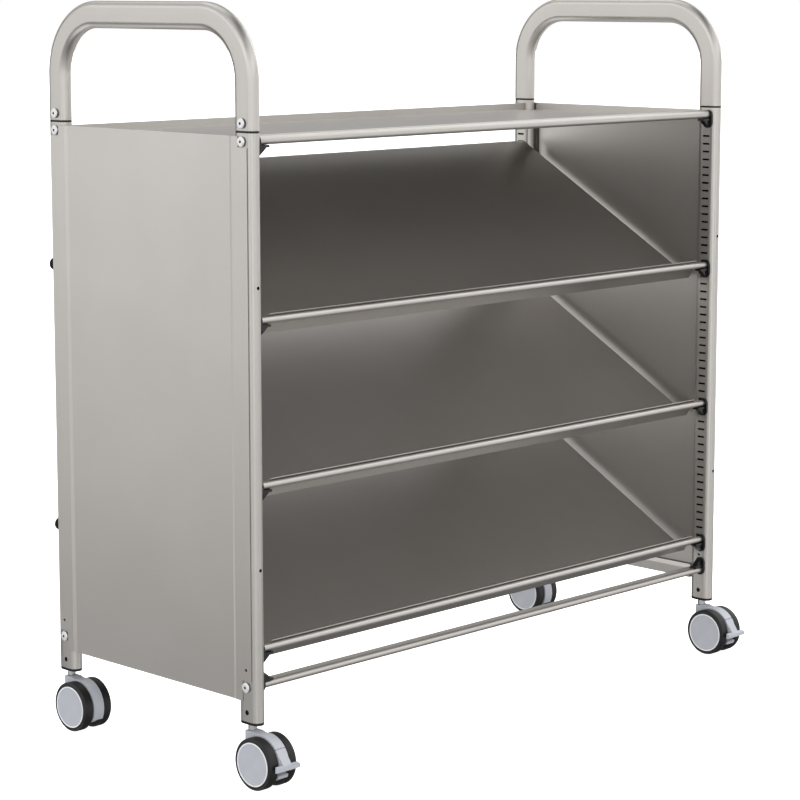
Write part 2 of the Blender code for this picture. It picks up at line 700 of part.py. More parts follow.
def castor_wheel(name, hood, outward, tyre, disc):
    """One wheel, turned about its axle, with a blind bore on the hood's side."""
    inner = HOOD_WIDTH / 2 + RUNNING_GAP
    face = CASTOR_WIDTH / 2
    bore = AXLE_DIAMETER / 2 + SEAT_GAP
    tread = face - TYRE_SHOULDER
    disc_radius = DISC_DIAMETER / 2
    wall = WHEEL_RADIUS - disc_radius
    profile = [
        (face - WHEEL_WEB, bore),
        (inner, bore),
        (inner, WHEEL_RADIUS - TYRE_INNER_CHAMFER),
        (inner + TYRE_INNER_CHAMFER, WHEEL_RADIUS),
        (tread, WHEEL_RADIUS),
        (face - TYRE_SHOULDER / 2, WHEEL_RADIUS - wall / 7),
        (face - TYRE_SHOULDER / 6, WHEEL_RADIUS - wall / 2),
        (face - TYRE_SHOULDER / 6, disc_radius),
        (face, disc_radius - TYRE_SHOULDER / 6),
    ]
    rings = []
    for x, radius in profile:
        rings.append([(outward * x, y, z) for y, z in circle(radius, WHEEL_STEPS)])
    obj = piece(name, loft(rings), tyre)
    obj.data.materials.append(disc)
    for face_polygon in obj.data.polygons:
        if abs(face_polygon.center.x) > face - TYRE_SHOULDER / 8:
            face_polygon.material_index = 1
    obj.parent = hood
    obj.location = (0, -CASTOR_TRAIL, 0)
    return obj


def brake_lever(name, hood, material):
    """T-shaped pedal that closes the front of a hood and turns about the axle."""
    half = HOOD_WIDTH / 2
    inner = HOOD_INNER_RADIUS + SEAT_GAP
    top = LEVER_TOP_ANGLE - 2 * SEAT_GAP / HOOD_INNER_RADIUS
    shell = sector(inner, HOOD_RADIUS, LEVER_FOOT_ANGLE, top)
    obj = piece(name, prism_x(axle_side(shell), -half, half), material)

    rise = PEDAL_HEIGHT / 2
    pedal_outer = PEDAL_INNER + PEDAL_THICKNESS
    front = [(pedal_outer, -rise / 2), (pedal_outer, rise / 2)]
    pedal = [(PEDAL_INNER, -rise)] + front + [(PEDAL_INNER, rise)]
    join(obj, prism_x(axle_side(pedal), -PEDAL_LENGTH / 2, PEDAL_LENGTH / 2))
    mid = (HOOD_RADIUS + inner) / 2
    foot_up = inner * math.sin(LEVER_FOOT_ANGLE) + SEAT_GAP
    mid_pedal = PEDAL_INNER + PEDAL_THICKNESS / 2
    neck = [(mid, foot_up), (mid_pedal, -rise / 2), (mid_pedal, rise / 2), (mid, HOOD_RADIUS / 2)]
    join(obj, prism_x(axle_side(neck), SHEET - half, half - SHEET))

    plate = LEVER_PLATE / 2
    web_foot = LEVER_FOOT_ANGLE + 3 * SEAT_GAP / inner
    web = eye_and_web(LEVER_EYE / 2, mid, web_foot, top - LEVER_TRAVEL / 2)
    join(obj, prism_x(axle_side(web), -plate, plate))
    hole = circle(AXLE_DIAMETER / 2 + SEAT_GAP, WHEEL_STEPS)
    cut(obj, prism_x(axle_side(hole), -HOOD_WIDTH, HOOD_WIDTH))
    obj.parent = hood
    obj.location = (0, -CASTOR_TRAIL, 0)
    return obj


def build():
    for old in list(bpy.data.objects):
        bpy.data.objects.remove(old)

    paint = finish("grey_paint", (0.49, 0.47, 0.45), 0.45, 0.1)
    black = finish("black_plastic", (0.012, 0.012, 0.013), 0.25)
    grey = finish("castor_grey", (0.42, 0.43, 0.47), 0.35)
    tyre = finish("tyre", (0.02, 0.02, 0.02), 0.6)
    rubber = finish("rubber", (0.015, 0.015, 0.015), 0.8)
    steel = finish("zinc_steel", (0.55, 0.55, 0.57), 0.3, 1.0)

    for hand, side in SIDES.items():
        handle(f"handle_{hand}", side, paint)
        end_panel(f"end_panel_{hand}", side, paint)
        for end, leg_y in ENDS.items():
            corner = f"{end}_{hand}"
            outward = -1 if end == "front" else 1
            upright(f"upright_{corner}", side, leg_y, outward, paint)
            connector(f"handle_connector_{corner}", side, leg_y, black)
            tube_plug(f"tube_plug_{corner}", side, leg_y, black)
            castor_stem(f"castor_stem_{corner}", side, leg_y, steel)
            braked = end == "front"
            hood = castor_hood(f"castor_hood_{corner}", side, leg_y, braked, grey)
            castor_wheel(f"castor_wheel_{corner}_outer", hood, side, tyre, grey)
            castor_wheel(f"castor_wheel_{corner}_inner", hood, -side, tyre, grey)
            if braked:
                brake_lever(f"brake_lever_{hand}", hood, grey)
        for level, drop in (("upper", UPPER_BUFFER_DROP), ("lower", LOWER_BUFFER_DROP)):
            rear_buffer(f"rear_buffer_{level}_{hand}", side, drop, rubber)

    top_tray("top_tray", paint)
    rod_half = INNER_X - SADDLE_FACE - SEAT_GAP
    rod("rod_top_front", ROD_Y, TOP_Z - TOP_ROD_DROP, rod_half, paint)
    lower_z = TOP_Z - LOWER_ROD_DROP
    finned_rod("rod_lower_front", ROD_Y, lower_z, rod_half, paint)
    rod("rod_lower_back", BACK_Y, lower_z, INNER_X - SEAT_GAP, paint)
    for number in range(SHELF_COUNT):
        level = SHELF_NAMES[number]
        hook = FIRST_HOOK_SLOT + SHELF_SLOTS * number
        rod_z = slot_z(hook + 0.5)
        rod(f"rod_shelf_{level}", ROD_Y, rod_z, rod_half, paint)
        tilted_shelf(f"tilted_shelf_{level}", rod_z, slot_z(hook - BACK_SLOT_RISE), paint)
        for hand, side in SIDES.items():
            bracket(f"bracket_shelf_{level}_{hand}", side, rod_z, black)
    for hand, side in SIDES.items():
        bracket(f"bracket_top_{hand}", side, TOP_Z - TOP_ROD_DROP, black, hooked=False)
        bracket(f"bracket_lower_{hand}", side, lower_z, black, turned=-1, hooked=False)


build()
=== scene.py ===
# %% [markdown]
# # A tilted shelf trolley
#
# A library trolley is a frame of flat-oval steel tubes with sheet-steel panels between them.
# Its three shelves tilt forward, so that books lean back and show their covers, and each
# shelf rests on a steel rod at the front. This lesson dresses the finished construction:
# every solid is already in its place, and here it gets its edges, finish and light.
# Everything is in metres, with the shelves along X, the open front towards -Y and Z up.

# %% Load the construction
import json
import math

import bmesh
import bpy
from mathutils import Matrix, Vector

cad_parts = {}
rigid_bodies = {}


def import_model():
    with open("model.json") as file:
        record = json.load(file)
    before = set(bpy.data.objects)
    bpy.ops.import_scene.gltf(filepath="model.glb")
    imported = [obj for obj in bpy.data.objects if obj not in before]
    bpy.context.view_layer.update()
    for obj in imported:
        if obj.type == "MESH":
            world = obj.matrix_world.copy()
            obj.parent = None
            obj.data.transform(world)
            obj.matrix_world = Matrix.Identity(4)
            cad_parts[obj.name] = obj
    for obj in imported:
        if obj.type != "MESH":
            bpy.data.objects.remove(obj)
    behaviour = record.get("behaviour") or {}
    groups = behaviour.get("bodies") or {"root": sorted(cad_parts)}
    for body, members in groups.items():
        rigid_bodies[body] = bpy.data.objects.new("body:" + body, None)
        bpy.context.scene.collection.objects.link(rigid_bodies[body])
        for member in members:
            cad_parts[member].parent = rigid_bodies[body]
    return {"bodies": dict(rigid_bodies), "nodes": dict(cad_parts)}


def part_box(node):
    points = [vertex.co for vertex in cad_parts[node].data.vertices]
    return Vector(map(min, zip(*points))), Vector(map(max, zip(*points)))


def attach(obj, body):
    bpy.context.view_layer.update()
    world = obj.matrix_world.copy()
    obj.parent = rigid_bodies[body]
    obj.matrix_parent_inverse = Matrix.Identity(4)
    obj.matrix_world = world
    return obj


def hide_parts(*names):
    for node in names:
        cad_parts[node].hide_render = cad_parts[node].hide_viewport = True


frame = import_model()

MM = 0.001
scene = bpy.context.scene
nodes = frame["nodes"]
kept = set(nodes.values()) | set(frame["bodies"].values())
for thing in list(bpy.data.objects):
    if thing not in kept:
        bpy.data.objects.remove(thing)
bpy.context.view_layer.update()

# %% [markdown]
# ## What is found where
#
# A node's name says what it is and where it sits, so the pieces of one kind are found by the
# start of their names. Corners are named front or back, then left or right, and a hand's
# number says on which side of the middle it is. Places come from the nodes' own boxes.

# %% Find the corners
HANDS = {"left": -1, "right": 1}
CORNERS = [f"{end}_{hand}" for hand in HANDS for end in ("front", "back")]
LEVELS = ("upper", "middle", "lower")


def named(*starts):
    """The nodes whose names start with one of these words."""
    return [nodes[name] for name in sorted(nodes) if name.startswith(starts)]


def middle(node):
    """The middle of a node's box."""
    low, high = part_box(node)
    return (low + high) / 2


for corner in CORNERS:
    print(corner, "upright stands at", middle(f"upright_{corner}"))

# %% [markdown]
# ## Edges that catch the light
#
# No real edge is perfectly sharp. A folded sheet has a small radius, a moulding has a larger
# one, and each shows as a thin bright or dark line. The construction's solids come as loose
# triangles, so a stack of modifiers welds them, merges the triangles of each flat face,
# rounds the edges with a bevel and shades the result smooth. Remodelling each piece by hand
# would give the same line with much more work, and could drift from the real sizes.
#
# Smooth shading alone would bend the light over a flat that meets a round. Weighted normals
# let the larger face win, so flats stay flat and only the bevels and rounds turn.

# %% A modifier that shades smooth up to an angle
SMOOTH_LIMIT = math.radians(35)


def smooth_by_angle():
    """Geometry nodes that shade faces smooth and keep edges sharper than the limit."""
    group = bpy.data.node_groups.new("smooth_by_angle", "GeometryNodeTree")
    group.interface.new_socket("Geometry", in_out="INPUT", socket_type="NodeSocketGeometry")
    group.interface.new_socket("Geometry", in_out="OUTPUT", socket_type="NodeSocketGeometry")
    enter = group.nodes.new("NodeGroupInput")
    leave = group.nodes.new("NodeGroupOutput")
    drop = group.nodes.new("GeometryNodeRemoveAttribute")
    drop.inputs["Name"].default_value = "custom_normal"
    faces = group.nodes.new("GeometryNodeSetShadeSmooth")
    edges = group.nodes.new("GeometryNodeSetShadeSmooth")
    edges.domain = "EDGE"
    angle = group.nodes.new("GeometryNodeInputMeshEdgeAngle")
    below = group.nodes.new("FunctionNodeCompare")
    below.operation = "LESS_THAN"
    below.inputs["B"].default_value = SMOOTH_LIMIT
    group.links.new(angle.outputs["Unsigned Angle"], below.inputs["A"])
    group.links.new(below.outputs["Result"], edges.inputs["Shade Smooth"])
    group.links.new(enter.outputs["Geometry"], drop.inputs["Geometry"])
    group.links.new(drop.outputs["Geometry"], faces.inputs["Geometry"])
    group.links.new(faces.outputs["Geometry"], edges.inputs["Geometry"])
    group.links.new(edges.outputs["Geometry"], leave.inputs["Geometry"])
    return group


SMOOTH = smooth_by_angle()
print("made the node group", SMOOTH.name)

# %% Round the edges of the construction's solids
WELD = 0.01 * MM
FLAT = math.radians(0.2)
LARGE_FACES_WIN = 100


def shade(obj, flats):
    """Shades a piece smooth. With flats, large faces keep their own direction."""
    smooth = obj.modifiers.new("smooth", "NODES")
    smooth.node_group = SMOOTH
    if flats:
        weighted = obj.modifiers.new("flat_normals", "WEIGHTED_NORMAL")
        weighted.weight = LARGE_FACES_WIN
        weighted.keep_sharp = True


def soften(obj, radius, segments=2, limit=SMOOTH_LIMIT):
    """Welds a solid, rounds the edges sharper than a limit and shades it smooth."""
    weld = obj.modifiers.new("weld", "WELD")
    weld.merge_threshold = WELD
    if radius:
        flat = obj.modifiers.new("flat_faces", "DECIMATE")
        flat.decimate_type = "DISSOLVE"
        flat.angle_limit = FLAT
        bevel = obj.modifiers.new("edge", "BEVEL")
        bevel.width = radius
        bevel.segments = segments
        bevel.limit_method = "ANGLE"
        bevel.angle_limit = limit
    shade(obj, flats=radius > 0)


SHEET_EDGE = 0.35 * MM
SHEET_FOLD = math.radians(8)
TUBE_EDGE = 0.4 * MM
MOULDED_EDGE = 0.6 * MM
PEDAL_EDGE = 1.8 * MM
for obj in named("end_panel", "top_tray", "tilted_shelf"):
    soften(obj, SHEET_EDGE, limit=SHEET_FOLD)
for obj in named("upright"):
    soften(obj, TUBE_EDGE, segments=1)
for obj in named("rod", "bracket", "tube_plug", "castor_stem", "castor_hood"):
    soften(obj, MOULDED_EDGE)
for obj in named("brake_lever"):
    soften(obj, PEDAL_EDGE, segments=4)
for obj in named("handle_connector", "rear_buffer"):
    soften(obj, 0)
print("softened", sum(bool(obj.modifiers) for obj in nodes.values()), "solids")

# %% [markdown]
# ## Finishes
#
# Each finish is a small tree of nodes on one Principled shader. Noise in the object's own
# coordinates gives it a slight change of colour, a change of gloss and a fine bump, at the
# size the real surface has. Image textures would need drawing and unwrapping, and noise
# stays sharp at any distance. What is the same all over is set on the shader itself.

# %% Helpers for the finishes
NOISE_LOW = 0.3
NOISE_HIGH = 0.7


def start_finish(name):
    """A new node material: its tree, its shader and its coordinates."""
    material = bpy.data.materials.new(name)
    material.use_nodes = True
    tree = material.node_tree
    shader = tree.nodes["Principled BSDF"]
    coordinates = tree.nodes.new("ShaderNodeTexCoord")
    return material, tree, shader, coordinates.outputs["Object"]


def noise(tree, place, scale, detail=2.0):
    """Noise with this many grains to a metre."""
    texture = tree.nodes.new("ShaderNodeTexNoise")
    texture.inputs["Scale"].default_value = scale
    texture.inputs["Detail"].default_value = detail
    tree.links.new(place, texture.inputs["Vector"])
    return texture.outputs["Fac"]


def between(tree, share, low, high):
    """Spreads the middle of a noise over a range of numbers."""
    spread = tree.nodes.new("ShaderNodeMapRange")
    spread.inputs["From Min"].default_value = NOISE_LOW
    spread.inputs["From Max"].default_value = NOISE_HIGH
    spread.inputs["To Min"].default_value = low
    spread.inputs["To Max"].default_value = high
    tree.links.new(share, spread.inputs["Value"])
    return spread.outputs["Result"]


def two_tones(tree, share, first, second):
    """Mixes two close tones by a share."""
    mix = tree.nodes.new("ShaderNodeMix")
    mix.data_type = "RGBA"
    mix.inputs["A"].default_value = (*first, 1)
    mix.inputs["B"].default_value = (*second, 1)
    tree.links.new(share, mix.inputs["Factor"])
    return mix.outputs["Result"]


def over(tree, tone, share, colour):
    """Lays a colour over a tone where the share is 1."""
    result = two_tones(tree, share, colour, colour)
    tree.links.new(tone, result.node.inputs["A"])
    return result


def bump(tree, shader, height, strength, distance):
    """Gives the shader a fine bump."""
    node = tree.nodes.new("ShaderNodeBump")
    node.inputs["Strength"].default_value = strength
    node.inputs["Distance"].default_value = distance
    tree.links.new(height, node.inputs["Height"])
    tree.links.new(node.outputs["Normal"], shader.inputs["Normal"])


print("noise is spread from", NOISE_LOW, "to", NOISE_HIGH)

# %% [markdown]
# All the finishes here follow one recipe: two close tones that drift into each other, and a
# finer noise that sets both the roughness and the bump. Only the numbers differ, so one
# function makes them all, and marks such as a rubbed rim are laid over the tone by another.

# %% One recipe for all finishes
def finish(name, tones, drift, grain, roughness, relief,
           detail=2.0, metallic=0.0, specular=0.5, marks=None):
    """A material of two tones with a range of roughness and a bump.

    Drift and grain count the grains to a metre. Relief is the strength and the depth of the bump.
    """
    material, tree, shader, place = start_finish(name)
    shader.inputs["Metallic"].default_value = metallic
    shader.inputs["Specular IOR Level"].default_value = specular
    tone = two_tones(tree, between(tree, noise(tree, place, drift), 0.0, 1.0), *tones)
    if marks:
        tone = marks(tree, place, tone)
    tree.links.new(tone, shader.inputs["Base Color"])
    skin = noise(tree, place, grain, detail)
    tree.links.new(between(tree, skin, *roughness), shader.inputs["Roughness"])
    bump(tree, shader, skin, *relief)
    print("made the finish", name)
    return material


# %% [markdown]
# The steel is powder coated in a warm silver: fine metal flakes in a satin layer. Such a coat
# mirrors the room softly, so a panel fades where it faces the dark near the floor, and a rod
# is bright on top and dark below. A plain grey paint could not show that. The tone drifts by
# a few parts in a hundred over a panel, far too little to notice as a pattern.
#
# The powder does not reach inside the uprights, so the steel there is bare. Its near-black tone is
# painted shade, the shade deep in the slots. The inside is found by the distance from the flat middle
# of the oval tube. It starts a little below the outer face, as far as the powder reaches into a slot.

# %% Find the inside of the uprights
tube_low, tube_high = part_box("upright_front_left")
TUBE_RADIUS = (tube_high.x - tube_low.x) / 2
TUBE_HALF = (tube_high.y - tube_low.y) / 2
COAT_REACH = 0.6 * MM
INSIDE = TUBE_RADIUS - COAT_REACH


def maths(tree, operation, value, number=0.0):
    """One step of arithmetic on a value."""
    node = tree.nodes.new("ShaderNodeMath")
    node.operation = operation
    node.inputs[1].default_value = number
    tree.links.new(value, node.inputs[0])
    return node.outputs["Value"]


def inside_tube(tree, place):
    """1 inside an upright's wall and 0 outside it."""
    front = middle("upright_front_right")
    back = middle("upright_back_right")
    parts = tree.nodes.new("ShaderNodeSeparateXYZ")
    tree.links.new(place, parts.inputs["Vector"])
    across = maths(tree, "SUBTRACT", maths(tree, "ABSOLUTE", parts.outputs["X"]), front.x)
    along = maths(tree, "SUBTRACT", parts.outputs["Y"], (front.y + back.y) / 2)
    along = maths(tree, "SUBTRACT", maths(tree, "ABSOLUTE", along), (back.y - front.y) / 2)
    along = maths(tree, "SUBTRACT", maths(tree, "ABSOLUTE", along), TUBE_HALF - TUBE_RADIUS)
    flat = tree.nodes.new("ShaderNodeCombineXYZ")
    tree.links.new(across, flat.inputs["X"])
    tree.links.new(maths(tree, "MAXIMUM", along), flat.inputs["Y"])
    reach = tree.nodes.new("ShaderNodeVectorMath")
    reach.operation = "LENGTH"
    tree.links.new(flat.outputs["Vector"], reach.inputs[0])
    return maths(tree, "LESS_THAN", reach.outputs["Value"], INSIDE)


# Inside the walls the near-black tone is painted shade as well as bare steel.
print("the uprights are bare inside", round(INSIDE / MM, 1), "mm")

# %% Powder coat on tubes and sheets
SILVER = ((0.480, 0.459, 0.434), (0.504, 0.483, 0.457))
# Bare steel, darkened to near black as painted shade inside the slots.
BARE_STEEL_AND_PAINTED_SHADE = (0.012, 0.011, 0.010)


def bare_and_painted_shade_inside(tree, place, tone):
    """Bare steel inside the uprights, with a near-black tone that is painted shade."""
    return over(tree, tone, inside_tube(tree, place), BARE_STEEL_AND_PAINTED_SHADE)


def powder_coat(name, marks=None):
    """A satin silver coat."""
    return finish(name, SILVER, drift=7, grain=700, roughness=(0.31, 0.37),
                  relief=(0.02, 0.1 * MM), metallic=0.85, marks=marks)


PAINT = powder_coat("powder_coat")
TUBE_PAINT = powder_coat("tube_powder_coat", marks=bare_and_painted_shade_inside)

# %% [markdown]
# The rod brackets, tube plugs and connectors are glossy black mouldings. A tight highlight is
# what tells them from the matt rubber of the buffers, so the roughness is what matters here.

# %% Black mouldings, rubber and tyres
def black_moulding():
    """Glossy black plastic."""
    tones = ((0.004, 0.004, 0.0045), (0.007, 0.007, 0.0075))
    return finish("black_moulding", tones, drift=60, grain=1500, roughness=(0.16, 0.24),
                  relief=(0.03, 0.05 * MM), specular=0.35)


def buffer_rubber():
    """Matt black rubber with a coarse grain."""
    tones = ((0.013, 0.013, 0.013), (0.021, 0.021, 0.020))
    return finish("buffer_rubber", tones, drift=90, grain=2200, roughness=(0.6, 0.75),
                  relief=(0.2, 0.08 * MM), detail=4.0)


def tyre_skin():
    """The smooth black tread of a wheel."""
    tones = ((0.006, 0.006, 0.006), (0.010, 0.010, 0.010))
    return finish("tyre_skin", tones, drift=80, grain=1800, roughness=(0.42, 0.55),
                  relief=(0.1, 0.06 * MM), detail=3.0, specular=0.35)


BLACK = black_moulding()
RUBBER = buffer_rubber()
TYRE = tyre_skin()

# %% [markdown]
# Hoods, levers and wheel discs are moulded in a pale blue-grey with a satin skin. A disc has
# a paler ring painted at its rim as a painted highlight, found by the distance from the axle:
# the disc's own X axis is the axle, so X is left out and the length of the rest is the radius.
# The stems are zinc-plated steel, where a fine noise breaks up the reflections. The bolts have
# a whiter plating with little mirror in it. A bolt's socket and the crease under its head are
# painted dark as painted shade, found by the distances from its axis and from the tube.

# %% Find the distance from the axle
def around_axle(tree, place):
    """The distance of a spot from its own X axis."""
    across = tree.nodes.new("ShaderNodeVectorMath")
    across.operation = "MULTIPLY"
    across.inputs[1].default_value = (0, 1, 1)
    tree.links.new(place, across.inputs[0])
    reach = tree.nodes.new("ShaderNodeVectorMath")
    reach.operation = "LENGTH"
    tree.links.new(across.outputs["Vector"], reach.inputs[0])
    return reach.outputs["Value"]


print("the axle is the X axis of each round piece")

# %% Castor grey
DISC_RADIUS = 30.5 * MM
RIM_WIDTH = 1.1 * MM
RING_START = DISC_RADIUS - 1.9 * RIM_WIDTH
RING_FULL = DISC_RADIUS - 1.6 * RIM_WIDTH
# The paler tone of a disc's rim ring is a painted highlight.
PAINTED_RIM_HIGHLIGHT = (0.86, 0.86, 0.88)
BLUE_GREY = ((0.45, 0.465, 0.51), (0.48, 0.495, 0.54))


def painted_rim_highlight(tree, place, tone):
    """A painted highlight: a paler ring at the rim of a disc."""
    edge = tree.nodes.new("ShaderNodeMapRange")
    edge.inputs["From Min"].default_value = RING_START
    edge.inputs["From Max"].default_value = RING_FULL
    tree.links.new(around_axle(tree, place), edge.inputs["Value"])
    return over(tree, tone, edge.outputs["Result"], PAINTED_RIM_HIGHLIGHT)


def castor_grey(name, marks=None):
    """Satin pale plastic."""
    return finish(name, BLUE_GREY, drift=45, grain=1600, roughness=(0.34, 0.44),
                  relief=(0.06, 0.05 * MM), marks=marks)


GREY = castor_grey("castor_grey")
DISC = castor_grey("disc_grey", marks=painted_rim_highlight)

# %% Zinc on stems and bolts
SOCKET_RADIUS = 1.9 * MM
CREASE_HEIGHT = 1.7 * MM
# Painted shade for a bolt's socket and for the crease under its head.
PAINTED_CREASE_SHADE = (0.03, 0.03, 0.03)
STEM_ZINC = ((0.50, 0.50, 0.51), (0.60, 0.60, 0.60))
BOLT_ZINC = ((0.72, 0.72, 0.73), (0.78, 0.78, 0.78))


def painted_shade_in_creases(tree, place, tone):
    """Painted shade in a bolt's socket and in the crease under its head."""
    parts = tree.nodes.new("ShaderNodeSeparateXYZ")
    tree.links.new(place, parts.inputs["Vector"])
    height = maths(tree, "ABSOLUTE", parts.outputs["X"])
    tone = over(tree, tone, maths(tree, "LESS_THAN", height, CREASE_HEIGHT), PAINTED_CREASE_SHADE)
    reach = around_axle(tree, place)
    return over(tree, tone, maths(tree, "LESS_THAN", reach, SOCKET_RADIUS), PAINTED_CREASE_SHADE)


def zinc_plate(name, tones, metallic, marks=None):
    """Zinc plating with a broken reflection."""
    return finish(name, tones, drift=120, grain=2500, roughness=(0.26, 0.4),
                  relief=(0.08, 0.04 * MM), detail=4.0, metallic=metallic, marks=marks)


ZINC = zinc_plate("zinc_plate", STEM_ZINC, metallic=1.0)
# The bolts carry painted shade in their sockets and under their heads.
BOLT = zinc_plate("bolt_plate", BOLT_ZINC, metallic=0.35, marks=painted_shade_in_creases)


# %% Put the finishes on the solids
def dress(obj, material):
    """Gives a piece one finish all over."""
    obj.data.materials.clear()
    obj.data.materials.append(material)


for obj in named("end_panel", "top_tray", "tilted_shelf", "rod"):
    dress(obj, PAINT)
for obj in named("upright"):
    dress(obj, TUBE_PAINT)
for obj in named("handle_connector", "tube_plug", "bracket"):
    dress(obj, BLACK)
for obj in named("rear_buffer"):
    dress(obj, RUBBER)
for obj in named("castor_hood", "brake_lever"):
    dress(obj, GREY)
for obj in named("castor_stem"):
    dress(obj, ZINC)
print("dressed with", len(bpy.data.materials), "materials in the file")

# %% [markdown]
# ## Turned pieces
#
# Wheels, discs and bolts are round, so each is drawn as half of its section and turned about
# an axis. Blender's Screw modifier can do the same from an edge, but a short loop of rings
# keeps the axis, the number of steps and the direction of the faces in plain sight.

# %% Turn a section about the X axis
def bend(centre, radii, start, end, steps):
    """Points of an elliptical corner, as (along, radius) pairs."""
    points = []
    for number in range(steps + 1):
        angle = math.radians(start + (end - start) * number / steps)
        along = centre[0] + radii[0] * math.cos(angle)
        points.append((along, centre[1] + radii[1] * math.sin(angle)))
    return points


def shaded_piece(name, mesh, place=(0, 0, 0), flats=False):
    """Makes a shaded object of a mesh."""
    bmesh.ops.recalc_face_normals(mesh, faces=mesh.faces)
    data = bpy.data.meshes.new(name)
    mesh.to_mesh(data)
    mesh.free()
    obj = bpy.data.objects.new(name, data)
    obj.location = place
    scene.collection.objects.link(obj)
    shade(obj, flats)
    return obj


def turned(name, section, place, facing, steps, closed):
    """A solid turned about X. Facing is 1 or -1.

    A section that isn't closed starts and ends on the axis.
    """
    mesh = bmesh.new()
    rings = []
    for along, radius in section:
        ring = []
        for number in range(steps if radius else 1):
            angle = 2 * math.pi * number / steps
            spot = (facing * along, radius * math.cos(angle), radius * math.sin(angle))
            ring.append(mesh.verts.new(spot))
        rings.append(ring)
    pairs = list(zip(rings, rings[1:]))
    if closed:
        pairs.append((rings[-1], rings[0]))
    for first, second in pairs:
        for number in range(steps):
            after = (number + 1) % steps
            corners = [first[number % len(first)], first[after % len(first)]]
            corners += [second[after % len(second)], second[number % len(second)]]
            mesh.faces.new(list(dict.fromkeys(corners)))
    return shaded_piece(name, mesh, place)


print("a quarter bend has", len(bend((0, 0), (1, 1), 0, 90, 4)), "points")

# %% [markdown]
# ## Castor wheels
#
# Each castor has two wheels. A wheel is a black tyre with round shoulders on a pale disc, and
# the disc has a raised rim, with a bright ring painted on as its highlight. The construction has
# each wheel as one solid, so here a tyre and a disc of the same size take its place and turn with it.

# %% Sections of a tyre and a disc
SHOULDER = 3.2 * MM
SHOULDER_STEPS = 8
SIDE_WALL = 1 / 8
BACK_ROUND = 2 * MM
BACK_STEPS = 5
RIM_RISE = 0.5 * MM
RIM_INNER = 0.7 * RIM_WIDTH
RIM_GAP = 0.05 * RIM_WIDTH
RIM_INNER_STEPS = 3
RIM_OUTER_STEPS = 4
DISC_WEB = 2.6 * MM
HUB_RADIUS = 8 * MM
BORE_RADIUS = 4.3 * MM
WHEEL_STEPS = 96


def tyre_section(width, radius):
    """Closed section, measured inwards from the wheel's outer face."""
    seat = DISC_RADIUS - RIM_WIDTH
    wall = radius - DISC_RADIUS
    flank = (SHOULDER, DISC_RADIUS + wall * SIDE_WALL)
    section = bend(flank, (SHOULDER - RIM_RISE, wall * (1 - SIDE_WALL)), 180, 90, SHOULDER_STEPS)
    back = (width - BACK_ROUND, radius - BACK_ROUND)
    section += bend(back, (BACK_ROUND, BACK_ROUND), 90, 0, BACK_STEPS)
    section += [(width, seat), (2 * RIM_RISE, seat), (2 * RIM_RISE, DISC_RADIUS)]
    return section


def disc_section(width):
    """Section of the disc with its hub and blind bore, which starts and ends on the axis."""
    rim = (RIM_RISE, DISC_RADIUS - RIM_WIDTH)
    section = [(RIM_RISE, 0.0), (RIM_RISE, DISC_RADIUS - 2 * RIM_WIDTH)]
    section += bend(rim, (RIM_RISE, RIM_INNER), 270, 180, RIM_INNER_STEPS)
    section += bend(rim, (RIM_RISE, RIM_WIDTH - RIM_GAP), 180, 90, RIM_OUTER_STEPS)
    section += [(width - RIM_RISE, DISC_RADIUS - RIM_WIDTH - RIM_GAP), (width - RIM_RISE, HUB_RADIUS)]
    section += [(width, HUB_RADIUS), (width, BORE_RADIUS), (DISC_WEB, BORE_RADIUS), (DISC_WEB, 0.0)]
    return section


print("the rim stands", RIM_RISE / MM, "mm proud of the disc")

# %% Make the eight wheels
for corner in CORNERS:
    hood_x = middle(f"castor_hood_{corner}").x
    for side in ("inner", "outer"):
        node = f"castor_wheel_{corner}_{side}"
        low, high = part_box(node)
        centre = middle(node)
        facing = 1 if centre.x < hood_x else -1
        face_x = low.x if facing == 1 else high.x
        place = (face_x, centre.y, centre.z)
        width = high.x - low.x
        radius = (high.z - low.z) / 2
        section = tyre_section(width, radius)
        tyre = turned(f"tyre_{corner}_{side}", section, place, facing, WHEEL_STEPS, closed=True)
        section = disc_section(width)
        disc = turned(f"wheel_disc_{corner}_{side}", section, place, facing, WHEEL_STEPS, closed=False)
        dress(tyre, TYRE)
        dress(disc, DISC)
        for piece in (tyre, disc):
            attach(piece, f"wheel_{corner}_{side}")
            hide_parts(node)
print("eight wheels of", round(2 * radius / MM, 1), "mm")

# %% [markdown]
# ## Handles
#
# Each handle is the tube of the uprights, bent twice. A tube bender leaves a smooth curve, so
# the oval is carried along its path in many small turns. A curve object with a bevel profile
# would also do it, but rings of points say exactly where the flats of the oval face.

# %% Carry an oval along the handle's path
HANDLE_BEND = 85 * MM
BEND_STEPS = 24
ROUND_STEPS = 12


def oval_ring(x, station):
    """The tube's oval at a station of the path: Y, Z, the turn so far and an inset."""
    y, z, turn, inset = station
    ring = []
    for side in (1, -1):
        for number in range(ROUND_STEPS + 1):
            angle = math.pi * (number / ROUND_STEPS - 0.5)
            across = side * (TUBE_RADIUS - inset) * math.sin(angle)
            out = side * (TUBE_HALF - TUBE_RADIUS + (TUBE_RADIUS - inset) * math.cos(angle))
            ring.append((x + across, y - out * math.cos(turn), z + out * math.sin(turn)))
    return ring


def handle_path(low, high):
    """Stations up one leg, across and down the other, with a small chamfer at both ends."""
    front = low.y + TUBE_HALF
    back = high.y - TUBE_HALF
    turn_z = high.z - TUBE_HALF - HANDLE_BEND
    stations = [(front, low.z, 0.0, TUBE_EDGE), (front, low.z + TUBE_EDGE, 0.0, 0.0)]
    for centre_y, first in ((front + HANDLE_BEND, 0), (back - HANDLE_BEND, 90)):
        for step in range(BEND_STEPS + 1):
            turn = math.radians(first + 90 * step / BEND_STEPS)
            y = centre_y - HANDLE_BEND * math.cos(turn)
            stations.append((y, turn_z + HANDLE_BEND * math.sin(turn), turn, 0.0))
    stations += [(back, low.z + TUBE_EDGE, math.pi, 0.0), (back, low.z, math.pi, TUBE_EDGE)]
    return stations


